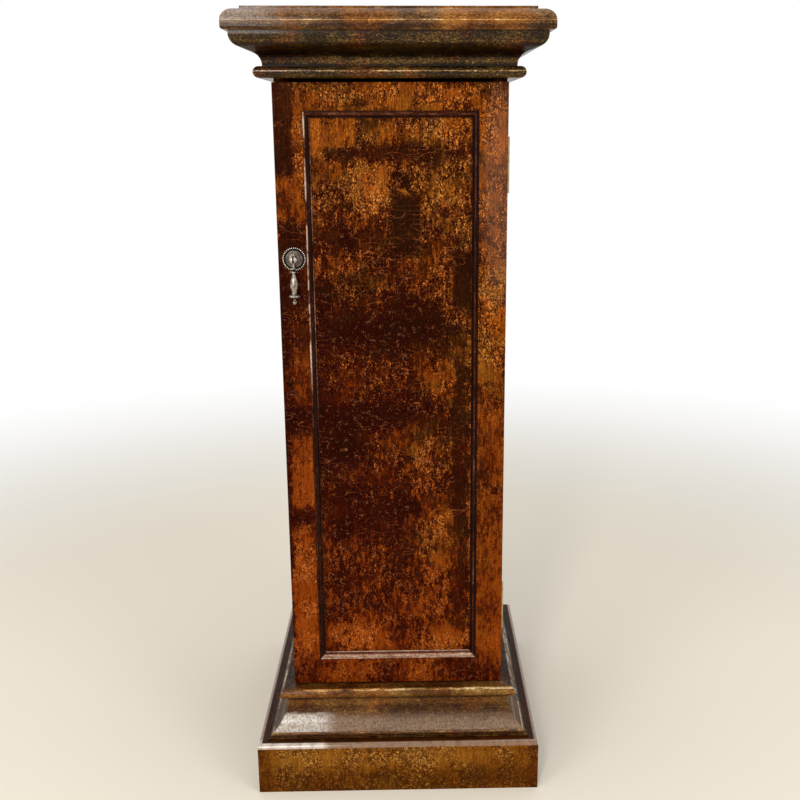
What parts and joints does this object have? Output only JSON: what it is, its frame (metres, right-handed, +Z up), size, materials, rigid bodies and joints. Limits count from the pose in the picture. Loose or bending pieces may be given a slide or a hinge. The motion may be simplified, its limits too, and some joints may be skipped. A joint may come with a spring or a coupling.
{
  "type": "bedside pot cupboard",
  "caption": "Tall narrow bedside cupboard with a panelled door, moulded plinth and cornice, shelves inside, and a pear-drop pull.",
  "frame": {"origin": "on the floor under the middle of the cupboard", "axes": "+Z up, the door faces -Y, its hinges are at +X"},
  "size_m": [0.367, 0.412, 0.9735],
  "materials": {
    "door_lacquer": "glossy lacquer over mottled copper leaf",
    "body_lacquer": "glossy lacquer over mottled copper leaf",
    "moulding_lacquer": "glossy dark lacquer rubbed through to gold",
    "bare_wood": "planed",
    "hinge_brass": "worn bright",
    "antique_brass": "antique",
    "steel": "plated"
  },
  "bodies": {
    "carcass": {"plinth_front": "moulding_lacquer", "plinth_right": "moulding_lacquer", "plinth_back": "moulding_lacquer", "plinth_left": "moulding_lacquer", "plinth_corner_blocks": "bare_wood", "base_moulding_front": "moulding_lacquer", "base_moulding_right": "moulding_lacquer", "base_moulding_back": "moulding_lacquer", "base_moulding_left": "moulding_lacquer", "base_bead_front": "moulding_lacquer", "base_bead_right": "moulding_lacquer", "base_bead_back": "moulding_lacquer", "base_bead_left": "moulding_lacquer", "floor_board": "moulding_lacquer", "side_left": "body_lacquer", "side_right": "body_lacquer", "back_panel": "body_lacquer", "shelf_lower": "bare_wood", "shelf_upper": "bare_wood", "shelf_pins": "hinge_brass", "top_board": "moulding_lacquer", "cornice_bead_front": "moulding_lacquer", "cornice_bead_right": "moulding_lacquer", "cornice_bead_back": "moulding_lacquer", "cornice_bead_left": "moulding_lacquer", "cornice_ogee_front": "moulding_lacquer", "cornice_ogee_right": "moulding_lacquer", "cornice_ogee_back": "moulding_lacquer", "cornice_ogee_left": "moulding_lacquer", "top_slab": "moulding_lacquer", "hinge_leaf_fixed_lower": "hinge_brass", "hinge_leaf_fixed_upper": "hinge_brass", "hinge_pin_lower": "hinge_brass", "hinge_pin_upper": "hinge_brass", "carcass_hinge_screws": "hinge_brass", "catch_magnet": "steel"},
    "door": {"door_stile_left": "door_lacquer", "door_stile_right": "door_lacquer", "door_rail_bottom": "door_lacquer", "door_rail_top": "door_lacquer", "door_panel": "door_lacquer", "panel_moulding_bottom": "moulding_lacquer", "panel_moulding_right": "moulding_lacquer", "panel_moulding_top": "moulding_lacquer", "panel_moulding_left": "moulding_lacquer", "hinge_leaf_door_lower": "hinge_brass", "hinge_leaf_door_upper": "hinge_brass", "door_hinge_screws": "hinge_brass", "catch_strike": "steel", "strike_screw": "steel", "pull_backplate": "antique_brass", "pull_post": "antique_brass", "pull_washer": "steel", "pull_nut": "steel", "pull_pivot_pin": "antique_brass"},
    "drop": {"pull_drop": "antique_brass"}
  },
  "joints": [
    {"name": "door_hinge", "type": "hinge", "parent": "carcass", "child": "door", "pos_m": [0.1373, -0.1377, 0.2315], "axis": [0, 0, 1], "range_deg": [0, 178]},
    {"name": "drop_pivot", "type": "hinge", "parent": "door", "child": "drop", "pos_m": [-0.1171, -0.1678, 0.6925], "axis": [-1, 0, 0], "range_deg": [-2, 100]}
  ]
}
